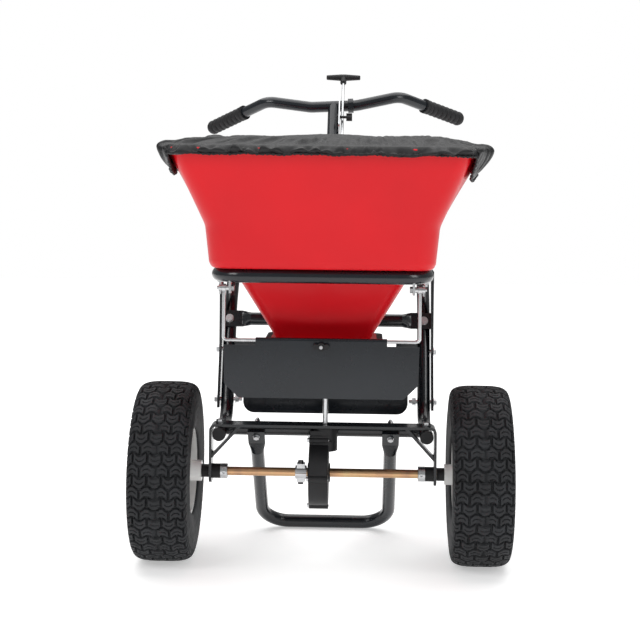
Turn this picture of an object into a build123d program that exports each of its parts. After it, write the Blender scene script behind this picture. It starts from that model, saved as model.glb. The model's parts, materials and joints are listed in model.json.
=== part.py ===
from build123d import *
import math
import os

os.makedirs("parts", exist_ok=True)

# Walk-behind broadcast spreader, in millimetres. +Z is up, the deflector side faces -Y and the
# handle is at +Y. The model is laid out with the axle above Y = 0, and every node is moved at
# the end so that the origin is below the middle of the whole machine, on the ground.

# ---- wheels and axle
TYRE_RADIUS = 165.0
TYRE_HALF_WIDTH = 56.0
BEAD_HALF_WIDTH = 44.0
BEAD_RADIUS = 77.2
RIM_FLANGE_RADIUS = 89.0
WHEEL_X = 292.0
HUB_RADIUS = 19.0
HUB_INNER_END = 227.0
HUB_OUTER_END = 338.0
BUSH_RADIUS = 12.0
AXLE_RADIUS = 8.0
AXLE_Z = TYRE_RADIUS
AXLE_HALF_LENGTH = 350.0
RUNNING_GAP = 0.05
SIDE_GAP = 0.3

# ---- frame
TUBE_R = 12.7
TUBE_BORE = 11.1
FRAME_X = 193.0
RAIL_Z = 238.0
RAIL_FRONT_Y = -24.0
RAIL_BEND_R = 60.0
UPRIGHT_SLOPE = 0.317
UPRIGHT_FOOT = (128.0, RAIL_Z)
UPRIGHT_TOP_Z = 400.0
CROSSBAR_Y = 40.0
CROSS_Z = 426.0
FLAT_HEIGHT = 32.0
FLAT_THICKNESS = 6.0
BRACKET_X = 212.0
BAR_THICKNESS = 5.0
BRACKET_HALF_DEPTH = 20.0
BRACKET_BOTTOM_Z = 145.0
BRACKET_TOP_Z = RAIL_Z + TUBE_R + BAR_THICKNESS
STAND_X = 127.0
STAND_Y = 240.0
STAND_BEND_R = 55.0
STRAP_DEPTH = 30.0
LOW_BOLT_Z = 276.0
HIGH_BOLT_Z = 371.0
RING_X = 186.0
RING_FRONT_Y = -165.0
RING_BACK_Y = 185.0
RING_TUBE_R = 12.5
RING_Z = 546.0
RING_CORNER_R = 45.0

# ---- handle
BAR_CENTRE = (600.0, 868.0)
BAR_R = 12.5
BAR_FLAT_X = 52.0
BAR_PEAK = (151.0, 605.0, 885.0)
BAR_END = (292.0, 720.0, 831.0)
BAR_ROLL = 2.6
GRIP_LENGTH = 118.0
GRIP_R = 14.0
BRACE_LENGTH = 300.0
ROD_R = 3.0
ROD_X = 21.0
ROD_LIFT = 17.0
ROD_TRAVEL = 50.0
KNOB_Z = 936.0
STOP_LIFT = 27.0

# ---- hopper, given as half width, front, back, corner radius and side bow at each height
WALL = 4.0
RIM_Z = 772.0
KINK_Z = 635.0
LEDGE_Z = RING_Z + RING_TUBE_R + SIDE_GAP
OUTLET_Z = 415.0
RIM_PLAN = (265.0, -253.0, 253.0, 26.0, 30.0)
KINK_PLAN = (207.0, -204.0, 207.0, 40.0, 3.0)
BIN_PLAN = (200.0, -186.0, 198.0, 38.0, 2.0)
FUNNEL_PLAN = (164.0, -146.0, 150.0, 30.0, 1.0)
OUTLET_PLAN = (82.0, -66.0, 72.0, 20.0, 0.5)
FRONT_BOW = 3.0

# ---- spreading gear
SHAFT_X = 4.0
SHAFT_R = 4.8
TOOTH_MODULE = 2.0
RING_TEETH = 52
PINION_TEETH = 12
PITCH_PLANE_X = SHAFT_X - TOOTH_MODULE * PINION_TEETH / 2
GEAR_FACE_IN = 47.0
GEAR_FACE_OUT = 56.0
IMPELLER_R = 130.0
IMPELLER_Z = 352.0
CASE_R = 60.0
CASE_LEFT = -25.0
CASE_RIGHT = 11.0
CASE_SPLIT = -7.0
NECK_RIGHT = 27.0
NECK_TOP = 250.0
BASE_THICKNESS = 4.0
SHUTTER_THICKNESS = 3.0
LUG_Y = 150.0

# ---- deflector
BAIL_X = 173.0
BAIL_Y = -160.0
BAIL_TOP_Z = 524.0
BAIL_ROD_Z = 432.0
PANEL_THICKNESS = 2.0
PANEL_BOTTOM_Z = 331.0


def unit(y, z):
    length = math.hypot(y, z)
    return (y / length, z / length)


POST_FOOT_OFFSET = TUBE_R + FLAT_THICKNESS / 2
LEAN = unit(UPRIGHT_SLOPE, 1.0)
LEAN_FRONT = (-LEAN[1], LEAN[0])


def upright_y(z):
    """Y of the uprights' centre line at height z."""
    return UPRIGHT_FOOT[0] + UPRIGHT_SLOPE * (z - UPRIGHT_FOOT[1])


CROSS_Y = upright_y(CROSS_Z) + POST_FOOT_OFFSET * LEAN_FRONT[0]
CROSS_TUBE_Z = CROSS_Z + POST_FOOT_OFFSET * LEAN_FRONT[1]
POST_LENGTH = math.hypot(BAR_CENTRE[0] - CROSS_Y, BAR_CENTRE[1] - CROSS_TUBE_Z)
POST = unit(BAR_CENTRE[0] - CROSS_Y, BAR_CENTRE[1] - CROSS_TUBE_Z)
POST_UP = (-POST[1], POST[0])


def post_point(x, along, lift=0.0):
    """A point beside the post: distance up it from the cross tube, and lift off its upper side."""
    y = CROSS_Y + POST[0] * along + POST_UP[0] * lift
    z = CROSS_TUBE_Z + POST[1] * along + POST_UP[1] * lift
    return Vector(x, y, z)


# ------------------------------------------------------------------ shared shapes
def rod(start, end, radius):
    start = Vector(*start)
    axis = Vector(*end) - start
    place = Plane(origin=start, z_dir=axis)
    return place * Cylinder(radius, axis.length, align=(Align.CENTER, Align.CENTER, Align.MIN))


def sleeve(start, end, outer, inner):
    return rod(start, end, outer) - rod(start, end, inner)


def box(low, high):
    size = [b - a for a, b in zip(low, high)]
    return Pos(*low) * Box(*size, align=(Align.MIN, Align.MIN, Align.MIN))


def bent_tube(points, radii, outer, inner=0.0):
    path = FilletPolyline(*points, radius=radii)
    ring = Circle(outer) - Circle(inner) if inner else Circle(outer)
    return sweep(Plane(origin=path @ 0, z_dir=path % 0) * ring, path=path)


def hex_prism(centre, direction, across_flats, height):
    place = Plane(origin=centre, z_dir=direction)
    return extrude(place * RegularPolygon(across_flats / 2, 6, major_radius=False), amount=height)


def bolt(under_head, direction, radius, grip):
    """A tightened bolt: head and washer before under_head, washer and nut after the grip."""
    start = Vector(*under_head)
    along = Vector(*direction).normalized()
    washer = 1.2
    body = rod(start - along * washer, start + along * (grip + 3.4 * radius), radius)
    body += rod(start - along * washer, start, 2.1 * radius)
    body += hex_prism(start - along * washer, along * -1, 3.3 * radius, 1.3 * radius)
    body += rod(start + along * grip, start + along * (grip + washer), 2.1 * radius)
    body += hex_prism(start + along * (grip + washer), along, 3.3 * radius, 1.5 * radius)
    return body


def drill(shape, start, end, radius):
    return shape - rod(start, end, radius + 0.1)


def outline_face(points):
    """Flat face inside straight lines through the points."""
    return Face(Wire(Polyline(*points, close=True).edges()))


def mirrored(shape):
    return mirror(shape, about=Plane.YZ)


def pair(shape):
    return Compound(children=[shape, mirrored(shape)])


def ring_profile(edges, x):
    """Revolve a closed outline of (axial, radial) edges about the wheel line at x."""
    return Pos(x, 0, AXLE_Z) * revolve(Face(Wire(edges)), Axis.X, 360)


# ------------------------------------------------------------------ wheels
def tyre(side):
    bead, r0 = BEAD_HALF_WIDTH, BEAD_RADIUS
    w, r = TYRE_HALF_WIDTH, TYRE_RADIUS
    edges = []
    for s in (-1, 1):
        edges.append(Line((s * bead, r0), (s * bead, r0 + 13)))
        edges.append(ThreePointArc((s * bead, r0 + 13), (s * w, 120), (s * (w - 4), r - 18)))
        edges.append(ThreePointArc((s * (w - 4), r - 18), (s * (w - 9), r - 8.5), (s * (w - 19), r - 4)))
        edges.append(Line((s * bead, r0), (s * (bead - 10), r0)))
        edges.append(Line((s * (bead - 10), r0), (s * (bead - 8), r0 + 16)))
        edges.append(ThreePointArc((s * (bead - 8), r0 + 16), (s * (w - 8), 120), (s * (w - 13), r - 22)))
    edges.append(ThreePointArc((19 - w, r - 4), (0, r), (w - 19, r - 4)))
    edges.append(ThreePointArc((13 - w, r - 22), (0, r - 12), (w - 13, r - 22)))
    return ring_profile(edges, side * WHEEL_X)


def rim(side):
    """Steel rim: barrel, two flanges with rolled lips and a dished disc with round holes."""
    half, floor, plate = BEAD_HALF_WIDTH + 0.2, BEAD_RADIUS - 0.2, 3.0
    barrel = [(-half, floor), (half, floor), (half, floor - plate), (-half, floor - plate)]
    shape = ring_profile(Polyline(*barrel, close=True).edges(), 0)
    for s in (-1, 1):
        flange = [(s * half, floor - plate), (s * half, RIM_FLANGE_RADIUS - 2),
                  (s * (half + plate), RIM_FLANGE_RADIUS - 2), (s * (half + plate), floor - plate)]
        shape += ring_profile(Polyline(*flange, close=True).edges(), 0)
        lip = Pos(s * (half + 3.2), RIM_FLANGE_RADIUS - 2.2) * Circle(2.2)
        shape += Pos(0, 0, AXLE_Z) * revolve(lip, Axis.X, 360)
    disc = [(14, HUB_RADIUS), (14, 34), (2, 48), (2, floor - plate),
            (-1, floor - plate), (-1, 46.5), (11, 32.5), (11, HUB_RADIUS)]
    shape += ring_profile(Polyline(*disc, close=True).edges(), 0)
    for k in range(5):
        turn = math.radians(72 * k + 18)
        y, z = 60 * math.cos(turn), AXLE_Z + 60 * math.sin(turn)
        shape -= rod((-10, y, z), (10, y, z), 7)
    if side < 0:
        shape = mirrored(shape)
    return Pos(side * WHEEL_X, 0, 0) * shape


def hub(side, bore):
    inner, outer = side * HUB_INNER_END, side * HUB_OUTER_END
    return sleeve((inner, 0, AXLE_Z), (outer, 0, AXLE_Z), HUB_RADIUS, bore)


def free_wheel_bushes():
    """Two flanged bushes in the free wheel's hub."""
    bushes = []
    for start, away in ((-HUB_INNER_END, -1), (-HUB_OUTER_END, 1)):
        end = start + away * 26
        bushes.append(sleeve((start, 0, AXLE_Z), (end, 0, AXLE_Z), BUSH_RADIUS,
                             AXLE_RADIUS + RUNNING_GAP))
    return Compound(children=bushes)


def valve(side):
    """Valve stem standing out of the rim barrel towards the wheel's open side."""
    x = side * (WHEEL_X + 22)
    foot = BEAD_RADIUS - 3.2
    stem = rod((x, 0, AXLE_Z + foot), (x + side * 5, 0, AXLE_Z + foot - 16), 3.5)
    stem += rod((x + side * 5, 0, AXLE_Z + foot - 16), (x + side * 9, 0, AXLE_Z + foot - 28), 2.6)
    cut = rod((side * WHEEL_X, 0, AXLE_Z), (side * (WHEEL_X + 60), 0, AXLE_Z), foot)
    return stem & cut


# ------------------------------------------------------------------ axle line
PIN_X = 330.0
COTTER_X = 344.0
COLLAR_INNER_X = 178.0
BEARING_INNER_X = 191.3


def axle():
    shape = rod((-AXLE_HALF_LENGTH, 0, AXLE_Z), (AXLE_HALF_LENGTH, 0, AXLE_Z), AXLE_RADIUS)
    shape = drill(shape, (PIN_X, 0, AXLE_Z - 30), (PIN_X, 0, AXLE_Z + 30), 2.5)
    for x in (-COTTER_X, COTTER_X):
        shape = drill(shape, (x, 0, AXLE_Z - 30), (x, 0, AXLE_Z + 30), 1.6)
    return chamfer(shape.edges().filter_by(GeomType.CIRCLE).group_by(Axis.X)[-1], 1.2)


def drive_pin():
    shape = rod((PIN_X, 0, AXLE_Z - 24), (PIN_X, 0, AXLE_Z + 20), 2.5)
    return shape + rod((PIN_X, 0, AXLE_Z + 19.3), (PIN_X, 0, AXLE_Z + 23), 4.5)


def drive_hub():
    shape = hub(1, AXLE_RADIUS + 0.02)
    return drill(shape, (PIN_X, 0, AXLE_Z - 30), (PIN_X, 0, AXLE_Z + 30), 2.5)


def cotter_pins():
    """A split pin through each end of the axle, its two legs spread."""
    pins = []
    for x in (-COTTER_X, COTTER_X):
        pin = rod((x, 0, AXLE_Z - 14), (x, 0, AXLE_Z + 11), 1.6)
        eye = Pos(x, 0, AXLE_Z + 14) * Rot(0, 90, 0) * Torus(3.6, 1.5)
        pins.append(pin + eye)
    return Compound(children=pins)


def axle_washers():
    start = HUB_OUTER_END + SIDE_GAP
    washer = sleeve((start, 0, AXLE_Z), (start + 2.5, 0, AXLE_Z), 15, AXLE_RADIUS)
    return pair(washer)


def axle_spacers():
    start, end = BRACKET_X + 1.2, HUB_INNER_END - SIDE_GAP
    return pair(sleeve((start, 0, AXLE_Z), (end, 0, AXLE_Z), 12, AXLE_RADIUS))


def axle_collars():
    """Set collars inboard of the bearings, each with a grub screw hole."""
    end = BEARING_INNER_X - SIDE_GAP
    shape = sleeve((COLLAR_INNER_X, 0, AXLE_Z), (end, 0, AXLE_Z), 14, AXLE_RADIUS)
    x = (COLLAR_INNER_X + end) / 2
    shape -= rod((x, -20, AXLE_Z), (x, -10, AXLE_Z), 2.5)
    return pair(chamfer(shape.edges().filter_by(GeomType.CIRCLE).group_by(Axis.X)[0], 0.8))


def axle_bearings():
    """Flanged bushes held in the holes of the axle bracket."""
    bore = AXLE_RADIUS + RUNNING_GAP
    leg = BRACKET_X - BAR_THICKNESS
    shape = sleeve((BEARING_INNER_X, 0, AXLE_Z), (leg, 0, AXLE_Z), 13.5, bore)
    shape += sleeve((leg, 0, AXLE_Z), (BRACKET_X + 0.8, 0, AXLE_Z), 11, bore)
    return pair(shape)


def gearbox_collar():
    """Split clamp collar on the axle, with ears for its two bolts."""
    shape = rod((-51, 0, AXLE_Z), (-30, 0, AXLE_Z), 12.5)
    shape += box((-48, -9, AXLE_Z - 17), (-33, 9, AXLE_Z + 17))
    shape -= rod((-60, 0, AXLE_Z), (-20, 0, AXLE_Z), AXLE_RADIUS)
    shape -= box((-52, -14, AXLE_Z - 0.6), (-29, 14, AXLE_Z + 0.6))
    return drill(shape, (-41, 0, AXLE_Z - 30), (-41, 0, AXLE_Z + 30), 2.5)


def collar_bolts():
    bolts = []
    for s in (-1, 1):
        base = AXLE_Z + s * AXLE_RADIUS
        shank = rod((-41, 0, base), (-41, 0, AXLE_Z + s * 17), 2.5)
        bolts.append(shank + hex_prism((-41, 0, AXLE_Z + s * 17), (0, 0, s), 9, 5))
    return Compound(children=bolts)


# ------------------------------------------------------------------ gearbox and impeller
def ring_gear():
    """Crown gear on the axle: radial teeth on its right face."""
    back = PITCH_PLANE_X - 8
    root = PITCH_PLANE_X - 1.7
    tip = PITCH_PLANE_X + 1.1
    shape = rod((back, 0, AXLE_Z), (root, 0, AXLE_Z), GEAR_FACE_OUT)
    shape -= rod((back - 1, 0, AXLE_Z), (back + 3, 0, AXLE_Z), GEAR_FACE_IN - 5)
    shape += rod((back - 2, 0, AXLE_Z), (root + 2, 0, AXLE_Z), 17)
    outline = [(root - 0.4, 1.25), (tip, 0.8), (tip, -0.8), (root - 0.4, -1.25)]
    tooth = extrude(outline_face(outline), amount=GEAR_FACE_OUT - GEAR_FACE_IN, dir=(0, 0, 1))
    teeth = []
    for k in range(RING_TEETH):
        turn = 360 / RING_TEETH * (k + 0.5)
        teeth.append(Pos(0, 0, AXLE_Z) * Rot(turn, 0, 0) * Pos(0, 0, GEAR_FACE_IN) * tooth)
    shape += teeth
    return shape - rod((back - 5, 0, AXLE_Z), (tip, 0, AXLE_Z), AXLE_RADIUS)


def pinion():
    """Spur pinion on the impeller shaft, in mesh with the top of the crown gear."""
    low, high = AXLE_Z + GEAR_FACE_IN - 1, AXLE_Z + GEAR_FACE_OUT
    pitch_r = TOOTH_MODULE * PINION_TEETH / 2
    shape = rod((0, 0, low), (0, 0, high), pitch_r - 2.2)
    outline = [(pitch_r - 2.8, 1.5), (pitch_r + 1.3, 0.75), (pitch_r + 1.3, -0.75), (pitch_r - 2.8, -1.5)]
    tooth = extrude(Pos(0, 0, low) * outline_face(outline), amount=high - low, dir=(0, 0, 1))
    shape += [Rot(0, 0, 180 + 360 / PINION_TEETH * k) * tooth for k in range(PINION_TEETH)]
    shape += rod((0, 0, high), (0, 0, high + 8), 9)
    shape -= rod((0, 0, low - 1), (0, 0, high + 9), SHAFT_R)
    return Pos(SHAFT_X, 0, 0) * shape


CASE_SCREWS = [(-20.0, 229.0), (20.0, 229.0), (0.0, 103.0), (-59.0, AXLE_Z), (59.0, AXLE_Z)]


def gearbox_case():
    """The whole casing before it is split: drum around the gear, neck around the pinion."""
    shape = rod((CASE_LEFT, 0, AXLE_Z), (CASE_RIGHT, 0, AXLE_Z), CASE_R)
    shape = chamfer(shape.edges().filter_by(GeomType.CIRCLE), 2)
    shape += box((CASE_LEFT + 2, -22, 205), (CASE_RIGHT, 22, NECK_TOP - 4))
    shape += rod((SHAFT_X, 0, 208), (SHAFT_X, 0, NECK_TOP), NECK_RIGHT - SHAFT_X)
    shape += rod((CASE_LEFT - 3, 0, AXLE_Z), (CASE_RIGHT + 3, 0, AXLE_Z), 17)
    for y, z in CASE_SCREWS:
        shape += rod((CASE_LEFT, y, z), (CASE_RIGHT, y, z), 6)
    for k in range(3):
        z = 214 + 10 * k
        shape += box((CASE_LEFT + 1, -24, z), (CASE_RIGHT, 24, z + 3))
    shape -= rod((PITCH_PLANE_X - 11, 0, AXLE_Z), (CASE_RIGHT - 3, 0, AXLE_Z), CASE_R - 3)
    shape -= rod((SHAFT_X, 0, 190), (SHAFT_X, 0, 236), 15)
    shape -= rod((SHAFT_X, 0, 190), (SHAFT_X, 0, 260), SHAFT_R + RUNNING_GAP)
    shape -= rod((-60, 0, AXLE_Z), (60, 0, AXLE_Z), AXLE_RADIUS + RUNNING_GAP)
    for y, z in CASE_SCREWS:
        shape = drill(shape, (-40, y, z), (20, y, z), 2.0)
    return shape


def gearbox_screws():
    screws = []
    for y, z in CASE_SCREWS:
        screw = rod((CASE_LEFT - 4, y, z), (CASE_RIGHT + 1, y, z), 2.0)
        screws.append(screw + hex_prism((CASE_LEFT, y, z), (-1, 0, 0), 7, 3.5))
    return Compound(children=screws)


def impeller_shaft():
    shape = rod((SHAFT_X, 0, 206), (SHAFT_X, 0, 462), SHAFT_R)
    shape = drill(shape, (SHAFT_X - 20, 0, 372), (SHAFT_X + 20, 0, 372), 2)
    return drill(shape, (SHAFT_X - 20, 0, 448), (SHAFT_X + 20, 0, 448), 2)


def impeller_pin():
    return rod((SHAFT_X - 17, 0, 372), (SHAFT_X + 17, 0, 372), 2)


def impeller():
    """Disc with a hub and five upright throwing vanes with a small foot each."""
    shape = rod((0, 0, IMPELLER_Z), (0, 0, IMPELLER_Z + 2.5), IMPELLER_R)
    shape += rod((0, 0, IMPELLER_Z), (0, 0, IMPELLER_Z + 32), 16)
    for k in range(5):
        vane = box((12, -1.25, IMPELLER_Z), (IMPELLER_R - 2, 1.25, IMPELLER_Z + 26))
        vane += box((12, -1.25, IMPELLER_Z + 23.5), (IMPELLER_R - 2, 8, IMPELLER_Z + 26))
        shape += Rot(0, 0, 72 * k + 20) * vane
    shape = Pos(SHAFT_X, 0, 0) * shape
    shape -= rod((SHAFT_X, 0, IMPELLER_Z - 5), (SHAFT_X, 0, IMPELLER_Z + 40), SHAFT_R)
    return drill(shape, (SHAFT_X - 20, 0, 372), (SHAFT_X + 20, 0, 372), 2)


def agitator():
    """Bent wire through the shaft that keeps the material moving above the outlets."""
    points = [(-28, -6, 432), (-24, 0, 448), (24, 0, 448), (28, 6, 432)]
    return Pos(SHAFT_X, 0, 0) * bent_tube(points, [5, 5], 2.0)


# ------------------------------------------------------------------ frame
def frame_tube():
    """Right frame tube: bottom rail, bend and leaning upright."""
    top = (FRAME_X, upright_y(UPRIGHT_TOP_Z), UPRIGHT_TOP_Z)
    points = [(FRAME_X, RAIL_FRONT_Y, RAIL_Z), (FRAME_X, *UPRIGHT_FOOT), top]
    shape = bent_tube(points, [RAIL_BEND_R], TUBE_R, TUBE_BORE)
    for z in (LOW_BOLT_Z, HIGH_BOLT_Z):
        shape = drill(shape, (150, upright_y(z), z), (240, upright_y(z), z), 4)
    return drill(shape, (FRAME_X, 0, RAIL_Z), (FRAME_X, 0, 280), 4)


def brace():
    """Right handle brace: plugs into the frame tube, leans back and turns in to the post."""
    foot = Vector(FRAME_X, upright_y(UPRIGHT_TOP_Z), UPRIGHT_TOP_Z)
    lift_gain = POST_UP[0] * UPRIGHT_SLOPE + POST_UP[1]
    lift_now = POST_UP[0] * (foot.Y - CROSS_Y) + POST_UP[1] * (foot.Z - CROSS_TUBE_Z)
    corner_z = UPRIGHT_TOP_Z - lift_now / lift_gain
    corner = Vector(FRAME_X, upright_y(corner_z), corner_z)
    top = corner + Vector(0, *POST) * BRACE_LENGTH
    points = [foot, corner, top, Vector(0, top.Y, top.Z)]
    shape = bent_tube(points, [60, 80], TUBE_R, TUBE_BORE)
    along = Vector(0, *LEAN)
    shape += rod(foot - along * 45, foot + along * 8, TUBE_BORE - 0.1)
    shape -= rod(foot - along * 60, foot + along * 12, 9.4)
    shape -= rod(post_point(0, 0), post_point(0, POST_LENGTH), TUBE_R)
    bolt_y = upright_y(HIGH_BOLT_Z)
    shape = drill(shape, (150, bolt_y, HIGH_BOLT_Z), (240, bolt_y, HIGH_BOLT_Z), 4)
    start, end = cross_bolt_line()
    return drill(shape, start, end, 4)


def cross_bolt_line():
    centre = Vector(FRAME_X, upright_y(CROSS_Z), CROSS_Z)
    front = Vector(0, *LEAN_FRONT)
    return centre + front * (TUBE_R + FLAT_THICKNESS), centre - front * TUBE_R


def flattened_tube(half_length, flat_start, flat_end, thickness=FLAT_THICKNESS, height=FLAT_HEIGHT):
    """Round tube along X with flattened ends that lie in its local XZ plane."""
    shape = rod((-half_length, 0, 0), (half_length, 0, 0), TUBE_R)
    for s in (-1, 1):
        round_end = Plane(origin=(s * half_length, 0, 0), z_dir=(s, 0, 0)) * Circle(TUBE_R)
        place = Plane(origin=(s * flat_start, 0, 0), x_dir=(0, 1, 0), z_dir=(s, 0, 0))
        shape += loft([round_end.face(), (place * Rectangle(thickness, height)).face()])
        edge = box((0, -thickness / 2, -height / 2), (flat_end - flat_start, thickness / 2, height / 2))
        shape += Pos(s * flat_start if s > 0 else -flat_end, 0, 0) * edge
    return shape


def mid_cross_tube():
    shape = flattened_tube(150, 168, 207)
    shape = Pos(0, CROSS_Y, CROSS_TUBE_Z) * Rot(-math.degrees(math.atan(UPRIGHT_SLOPE)), 0, 0) * shape
    start, end = cross_bolt_line()
    shape = drill(shape, start, end, 4)
    mirror_start = Vector(-start.X, start.Y, start.Z)
    mirror_end = Vector(-end.X, end.Y, end.Z)
    return drill(shape, mirror_start, mirror_end, 4)


def cross_bolts():
    start, end = cross_bolt_line()
    return pair(bolt(start, end - start, 4, (end - start).length))


def axle_bracket():
    """Inverted U of flat bar over the frame rails, with a bearing hole in each leg."""
    outer_r = 12.0
    width = 2 * BRACKET_X
    height = BRACKET_TOP_Z - BRACKET_BOTTOM_Z
    inner_r = outer_r - BAR_THICKNESS
    outer = Rectangle(width, height)
    outer = fillet(outer.vertices().group_by(Axis.Y)[-1], outer_r)
    inner = Pos(0, -BAR_THICKNESS) * Rectangle(width - 2 * BAR_THICKNESS, height)
    inner = fillet(inner.vertices().group_by(Axis.Y)[-1], inner_r)
    place = Plane(origin=(0, 0, (BRACKET_TOP_Z + BRACKET_BOTTOM_Z) / 2), x_dir=(1, 0, 0), z_dir=(0, -1, 0))
    shape = extrude(place * (outer - inner), amount=BRACKET_HALF_DEPTH, both=True)
    for s in (-1, 1):
        shape -= rod((s * 200, 0, AXLE_Z), (s * 220, 0, AXLE_Z), 11.05)
        shape = drill(shape, (s * FRAME_X, 0, 200), (s * FRAME_X, 0, 280), 4)
    corners = shape.edges().filter_by(Axis.X).group_by(Axis.Z)[0]
    shape = fillet(corners, 14)
    return shape - rod((SHAFT_X, 0, 240), (SHAFT_X, 0, 270), SHAFT_R + 2)


def bracket_gussets():
    """Diagonal flat bars between the bracket's top and its legs."""
    top, side = BRACKET_TOP_Z - BAR_THICKNESS, BRACKET_X - BAR_THICKNESS
    outline = [(152, top), (159, top), (side, 199), (side, 191)]
    shape = extrude(outline_face([(x, 0, z) for x, z in outline]), amount=12.5, both=True, dir=(0, 1, 0))
    return pair(shape)


def bracket_bolts():
    """Short bolts from the bracket's top into threaded inserts in the rails."""
    top = BRACKET_TOP_Z
    shape = rod((FRAME_X, 0, top - 20), (FRAME_X, 0, top), 4)
    shape += rod((FRAME_X, 0, top), (FRAME_X, 0, top + 1.2), 8.4)
    shape += hex_prism((FRAME_X, 0, top + 1.2), (0, 0, 1), 13, 5)
    return pair(shape)


def frame_plugs():
    """Plastic plugs in the open front ends of the rails."""
    plug = rod((FRAME_X, RAIL_FRONT_Y - 3, RAIL_Z), (FRAME_X, RAIL_FRONT_Y, RAIL_Z), TUBE_R)
    plug = fillet(plug.edges().filter_by(GeomType.CIRCLE).group_by(Axis.Y)[0], 1.5)
    plug += rod((FRAME_X, RAIL_FRONT_Y, RAIL_Z), (FRAME_X, RAIL_FRONT_Y + 12, RAIL_Z), TUBE_BORE)
    return pair(plug)


def stand_frame():
    """Where the stand's legs run: the top point under the crossbar and the direction down."""
    reach_y, reach_z = STAND_Y - CROSSBAR_Y, TUBE_R - RAIL_Z
    offset = TUBE_R + FLAT_THICKNESS / 2
    turn = math.atan2(reach_z, reach_y) + math.asin(offset / math.hypot(reach_y, reach_z))
    down = (math.cos(turn), math.sin(turn))
    normal = (-down[1], down[0])
    top = (CROSSBAR_Y - normal[0] * offset, RAIL_Z - normal[1] * offset)
    return top, down, normal


def stand_bolt_line():
    top, down, normal = stand_frame()
    start = Vector(STAND_X, top[0] - normal[0] * FLAT_THICKNESS / 2, top[1] - normal[1] * FLAT_THICKNESS / 2)
    return start, Vector(0, *normal)


def kickstand():
    """U-shaped stand of bent tube, its two upper ends flattened under the crossbar."""
    top, down, normal = stand_frame()
    round_start, flat_end = 46.0, 22.0
    bottom = Vector(STAND_X, STAND_Y, TUBE_R)
    leg_top = Vector(STAND_X, top[0] + down[0] * round_start, top[1] + down[1] * round_start)
    right = [leg_top, bottom]
    points = right + [Vector(-p.X, p.Y, p.Z) for p in reversed(right)]
    shape = bent_tube(points, [STAND_BEND_R, STAND_BEND_R], TUBE_R)
    start, along = stand_bolt_line()
    for s in (-1, 1):
        origin = Vector(s * STAND_X, *top)
        down_dir = Vector(0, *down)
        flat_plane = Plane(origin=origin + down_dir * flat_end, x_dir=(1, 0, 0), z_dir=down_dir)
        round_plane = Plane(origin=origin + down_dir * round_start, x_dir=(1, 0, 0), z_dir=down_dir)
        flat = flat_plane * Rectangle(FLAT_HEIGHT, FLAT_THICKNESS)
        shape += loft([flat.face(), (round_plane * Circle(TUBE_R)).face()])
        shape += extrude(flat, amount=-(flat_end + 14))
        hole = Vector(s * start.X, start.Y, start.Z)
        shape = drill(shape, hole - along * 10, hole + along * 40, 3)
    return shape


def stand_bolts():
    start, along = stand_bolt_line()
    return pair(bolt(start, along, 3, FLAT_THICKNESS + 2 * TUBE_R))


def front_crossbar():
    shape = rod((-FRAME_X, CROSSBAR_Y, RAIL_Z), (FRAME_X, CROSSBAR_Y, RAIL_Z), TUBE_R)
    start, along = stand_bolt_line()
    for s in (-1, 1):
        shape -= rod((s * FRAME_X, -60, RAIL_Z), (s * FRAME_X, 90, RAIL_Z), TUBE_R)
        hole = Vector(s * start.X, start.Y, start.Z)
        shape = drill(shape, hole - along * 10, hole + along * 60, 3)
    return shape


def ring_path():
    outline = RectangleRounded(2 * RING_X, RING_BACK_Y - RING_FRONT_Y, RING_CORNER_R)
    return (Pos(0, (RING_BACK_Y + RING_FRONT_Y) / 2, RING_Z) * outline).wire()


HOPPER_BOLTS = [(s * RING_X, y) for s in (-1, 1) for y in (-90.0, 110.0)]
STRAP_TOP_Y = upright_y(HIGH_BOLT_Z)


def hopper_ring():
    path = ring_path()
    shape = sweep(Plane(origin=path @ 0, z_dir=path % 0) * Circle(RING_TUBE_R), path=path)
    for x, y in HOPPER_BOLTS:
        shape = drill(shape, (x, y, 500), (x, y, 600), 3)
    for s in (-1, 1):
        shape = drill(shape, (s * RING_X, STRAP_TOP_Y, 500), (s * RING_X, STRAP_TOP_Y, 600), 3)
    return shape


def strap():
    """Right hopper strap: follows the upright, rises to the ring and turns in under it."""
    half = STRAP_DEPTH / 2
    top = RING_Z - RING_TUBE_R - SIDE_GAP
    low_z, high_z = LOW_BOLT_Z - 14, HIGH_BOLT_Z
    outline = [(upright_y(low_z) - half, low_z), (upright_y(low_z) + half, low_z),
               (STRAP_TOP_Y + half, high_z), (STRAP_TOP_Y + half, top),
               (STRAP_TOP_Y - half, top), (STRAP_TOP_Y - half, high_z)]
    inner = BRACKET_X - BAR_THICKNESS
    side_face = outline_face([(inner, y, z) for y, z in outline])
    shape = extrude(side_face, amount=BAR_THICKNESS, dir=(1, 0, 0))
    tab = box((RING_X - 14, STRAP_TOP_Y - half, top - BAR_THICKNESS), (BRACKET_X, STRAP_TOP_Y + half, top))
    shape += tab
    outer_edge = shape.edges().filter_by(Axis.Y).group_by(Axis.Z)[-1].sort_by(Axis.X)[-1]
    shape = fillet(outer_edge, 4.5)
    for z in (LOW_BOLT_Z, HIGH_BOLT_Z):
        shape = drill(shape, (150, upright_y(z), z), (240, upright_y(z), z), 4)
    return drill(shape, (RING_X, STRAP_TOP_Y, 500), (RING_X, STRAP_TOP_Y, 600), 3)


def strap_bolts():
    bolts = []
    for z in (LOW_BOLT_Z, HIGH_BOLT_Z):
        side = bolt((BRACKET_X, upright_y(z), z), (-1, 0, 0), 4, BRACKET_X - FRAME_X + TUBE_R + 2.8)
        bolts += [side, mirrored(side)]
    return Compound(children=bolts)


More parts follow.
